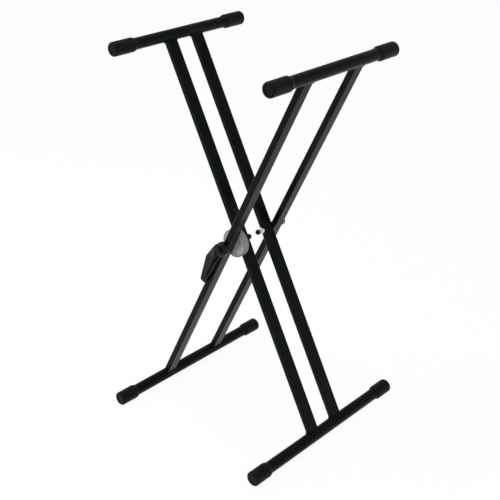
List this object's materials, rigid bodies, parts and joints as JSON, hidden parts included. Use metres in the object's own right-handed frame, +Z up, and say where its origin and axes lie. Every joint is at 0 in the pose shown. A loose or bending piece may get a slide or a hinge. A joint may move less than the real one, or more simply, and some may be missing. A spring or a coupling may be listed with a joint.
{
  "type": "folding keyboard stand",
  "caption": "Folding keyboard stand: two pairs of parallel square-tube legs cross at a pivot, with a lever-released toothed clutch, round top and foot bars and rubber end caps.",
  "frame": {"origin": "on the floor, under the middle of the stand at this height setting", "axes": "+X the way the feet spread (the outer frame's top bar is on this side), +Y along the crossbars away from the release lever, +Z up"},
  "size_m": [0.5022, 0.508, 0.9351],
  "materials": {
    "frame_paint": "semi-gloss",
    "rubber_caps": "matte",
    "silver_clutch": "satin",
    "zinc_steel": "bright zinc",
    "spring_steel": "oiled",
    "black_steel": "black oxide",
    "black_plastic": "fine texture"
  },
  "bodies": {
    "outer_frame": {"outer_leg_front": "frame_paint", "outer_leg_rear": "frame_paint", "outer_sleeve_front": "zinc_steel", "outer_sleeve_rear": "zinc_steel", "outer_top_bar": "frame_paint", "outer_foot_bar": "frame_paint", "outer_top_cap_front": "rubber_caps", "outer_top_cap_rear": "rubber_caps", "outer_foot_cap_front": "rubber_caps", "outer_foot_cap_rear": "rubber_caps", "front_clutch_disc": "silver_clutch", "hub_plate": "black_steel", "lever_spring": "spring_steel", "clutch_bolt": "black_steel", "clutch_washer": "black_steel", "clutch_cap_nut": "black_steel", "rear_bolt": "zinc_steel", "rear_washer": "zinc_steel", "rear_spacer": "black_steel", "rear_nut": "zinc_steel", "rear_ball_cap": "black_plastic", "rear_head_cover": "black_plastic"},
    "inner_frame": {"inner_leg_front": "frame_paint", "inner_leg_rear": "frame_paint", "inner_sleeve_front": "zinc_steel", "inner_sleeve_rear": "zinc_steel", "inner_top_bar": "frame_paint", "inner_foot_bar": "frame_paint", "inner_top_cap_front": "rubber_caps", "inner_top_cap_rear": "rubber_caps", "inner_foot_cap_front": "rubber_caps", "inner_foot_cap_rear": "rubber_caps", "leg_plug": "black_plastic", "clutch_cup": "silver_clutch", "clutch_spring": "spring_steel"},
    "clutch_slider": {"clutch_slider": "silver_clutch"},
    "push_pins": {"push_pins": "zinc_steel"},
    "release_lever": {"release_lever": "black_plastic"}
  },
  "joints": [
    {"name": "fold", "type": "hinge", "parent": "outer_frame", "child": "inner_frame", "pos_m": [0, 0, 0.4613], "axis": [0, 1, 0], "range_deg": [-40, 50]},
    {"name": "lever_pull", "type": "hinge", "parent": "outer_frame", "child": "release_lever", "pos_m": [0, -0.109, 0.4613], "axis": [0, 1, 0], "range_deg": [0, 22], "stiffness_Nm_per_rad": 0.6, "springref_deg": -17.19},
    {"name": "pins_slide", "type": "slide", "parent": "outer_frame", "child": "push_pins", "axis": [0, 1, 0], "range_m": [0, 0.0025]},
    {"name": "slider_slide", "type": "slide", "parent": "inner_frame", "child": "clutch_slider", "axis": [0, 1, 0], "range_m": [0, 0.0025], "stiffness_N_per_m": 300, "springref_m": -0.002, "deforming": ["clutch_spring"]}
  ],
  "couplings": [
    {"joint": "pins_slide", "follows": "lever_pull", "m_per_rad": 0.006511},
    {"joint": "slider_slide", "follows": "lever_pull", "m_per_rad": 0.006511}
  ]
}
